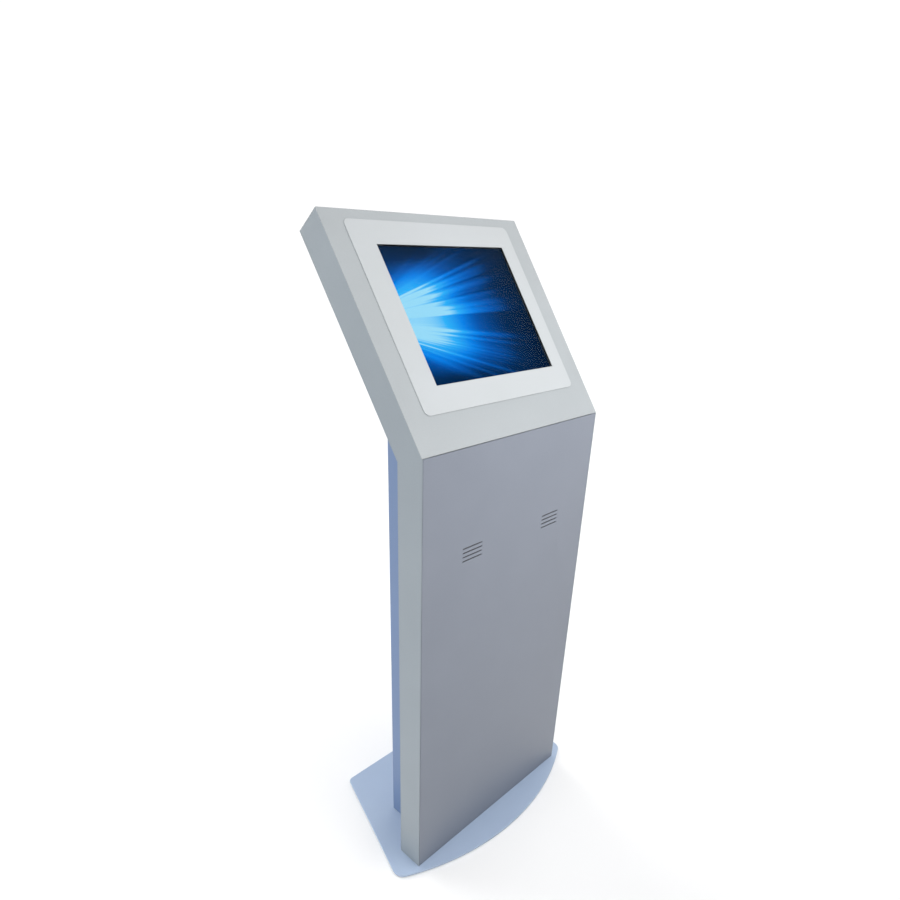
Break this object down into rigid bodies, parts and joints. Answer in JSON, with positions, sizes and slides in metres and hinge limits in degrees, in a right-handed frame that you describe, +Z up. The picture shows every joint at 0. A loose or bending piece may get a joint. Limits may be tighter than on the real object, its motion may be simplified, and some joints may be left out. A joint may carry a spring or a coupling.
{
  "type": "touchscreen kiosk",
  "caption": "Free-standing steel kiosk: slim upright column, tilted touchscreen head, narrower rear equipment housing with a locked door, curved base plate.",
  "frame": {"origin": "on the floor, in the middle of the base plate's outline", "axes": "+X to the right as seen from the front, +Y to the rear, +Z up; the screen faces -Y and up"},
  "size_m": [0.6916, 0.442, 1.5287],
  "materials": {
    "blue_paint": "light blue-grey powder coat",
    "grey_paint": "mid-grey powder coat",
    "pale_grey_paint": "pale grey powder coat",
    "bezel_paint": "very pale grey powder coat",
    "black_rubber": "matt",
    "zinc_plated_steel": "bright zinc plate",
    "black_plastic": "fine spark texture",
    "brass": "bare",
    "red_plastic": "translucent red rocker",
    "jack_metal": "die-cast, satin",
    "hinge_steel": "brushed stainless",
    "lock_chrome": "bright chrome plate",
    "touch_glass": "polished",
    "display": "lit liquid-crystal panel",
    "galvanised_steel": "galvanised sheet",
    "speaker_cloth": "open weave",
    "black_steel": "black powder coat",
    "speaker_paper": "pressed paper",
    "ferrite": "sintered",
    "button_metal": "turned",
    "pale_plastic": "satin",
    "black_lead": "PVC sheath",
    "blue_lead": "PVC sheath",
    "red_lead": "PVC sheath"
  },
  "bodies": {
    "kiosk": {"base_plate": "blue_paint", "base_pads": "black_rubber", "column_bolts": "zinc_plated_steel", "base_grommet": "black_rubber", "left_cheek": "grey_paint", "right_cheek": "grey_paint", "front_panel": "grey_paint", "head_face": "pale_grey_paint", "flange_nuts": "zinc_plated_steel", "head_back": "grey_paint", "column_back": "grey_paint", "panel_screws": "zinc_plated_steel", "rear_housing": "blue_paint", "service_panel": "blue_paint", "mains_inlet": "black_plastic", "inlet_pins": "brass", "network_jack": "jack_metal", "hinge_frame_leaves": "hinge_steel", "hinge_pins": "hinge_steel", "frame_hinge_screws": "zinc_plated_steel", "bezel_plate": "bezel_paint", "bezel_gasket": "black_rubber", "touch_glass": "touch_glass", "lcd_panel": "display", "monitor_chassis": "galvanised_steel", "monitor_cover": "galvanised_steel", "monitor_brackets": "galvanised_steel", "speaker_cloths": "speaker_cloth", "speaker_baskets": "black_steel", "speaker_cones": "speaker_paper", "speaker_magnets": "ferrite", "fan_frames": "black_plastic", "fan_guards": "lock_chrome", "fan_screws": "zinc_plated_steel", "computer_shelf": "galvanised_steel", "shelf_brackets": "galvanised_steel", "computer_case": "black_steel", "power_strip": "pale_plastic", "power_plugs": "black_plastic", "head_grommet": "black_rubber", "supply_lead": "black_lead", "equipment_leads": "black_lead", "video_lead": "black_lead", "network_lead": "blue_lead", "speaker_leads": "red_lead"},
    "door": {"rear_door": "blue_paint", "hinge_door_leaves": "hinge_steel", "door_hinge_screws": "zinc_plated_steel", "lock_bodies": "lock_chrome"},
    "upper_lock": {"upper_lock_plug": "lock_chrome", "upper_lock_cam": "zinc_plated_steel"},
    "lower_lock": {"lower_lock_plug": "lock_chrome", "lower_lock_cam": "zinc_plated_steel"},
    "left_fan": {"left_fan_rotor": "black_plastic"},
    "right_fan": {"right_fan_rotor": "black_plastic"},
    "computer_key": {"computer_button": "button_metal"},
    "monitor_key": {"monitor_button": "black_plastic"},
    "mains_switch": {"inlet_rocker": "red_plastic"},
    "strip_switch": {"strip_rocker": "red_plastic"}
  },
  "joints": [
    {"name": "door_swing", "type": "hinge", "parent": "kiosk", "child": "door", "pos_m": [-0.187, 0.052, 0.66996], "axis": [0, 0, 1], "range_deg": [0, 110]},
    {"name": "upper_lock_turn", "type": "hinge", "parent": "door", "child": "upper_lock", "pos_m": [0.165, 0.047, 0.95092], "axis": [0, 1, 0], "range_deg": [0, 90]},
    {"name": "lower_lock_turn", "type": "hinge", "parent": "door", "child": "lower_lock", "pos_m": [0.165, 0.047, 0.389], "axis": [0, 1, 0], "range_deg": [0, 90]},
    {"name": "left_fan_spin", "type": "hinge", "parent": "kiosk", "child": "left_fan", "pos_m": [-0.165, 0.15353, 1.43154], "axis": [0, 0.8151, -0.5793], "continuous": true},
    {"name": "right_fan_spin", "type": "hinge", "parent": "kiosk", "child": "right_fan", "pos_m": [0.165, 0.15353, 1.43154], "axis": [0, 0.8151, -0.5793], "continuous": true},
    {"name": "computer_key_press", "type": "slide", "parent": "kiosk", "child": "computer_key", "axis": [0, -1, 0], "range_m": [0, 0.0012], "stiffness_N_per_m": 600},
    {"name": "monitor_key_press", "type": "slide", "parent": "kiosk", "child": "monitor_key", "axis": [0, 0.5793, 0.8151], "range_m": [0, 0.001], "stiffness_N_per_m": 500},
    {"name": "mains_switch_rock", "type": "hinge", "parent": "kiosk", "child": "mains_switch", "pos_m": [-0.048, 0.049, 0.0875], "axis": [1, 0, 0], "range_deg": [0, 14]},
    {"name": "strip_switch_rock", "type": "hinge", "parent": "kiosk", "child": "strip_switch", "pos_m": [0.105, -0.0365, 0.309], "axis": [1, 0, 0], "range_deg": [0, 14]}
  ]
}
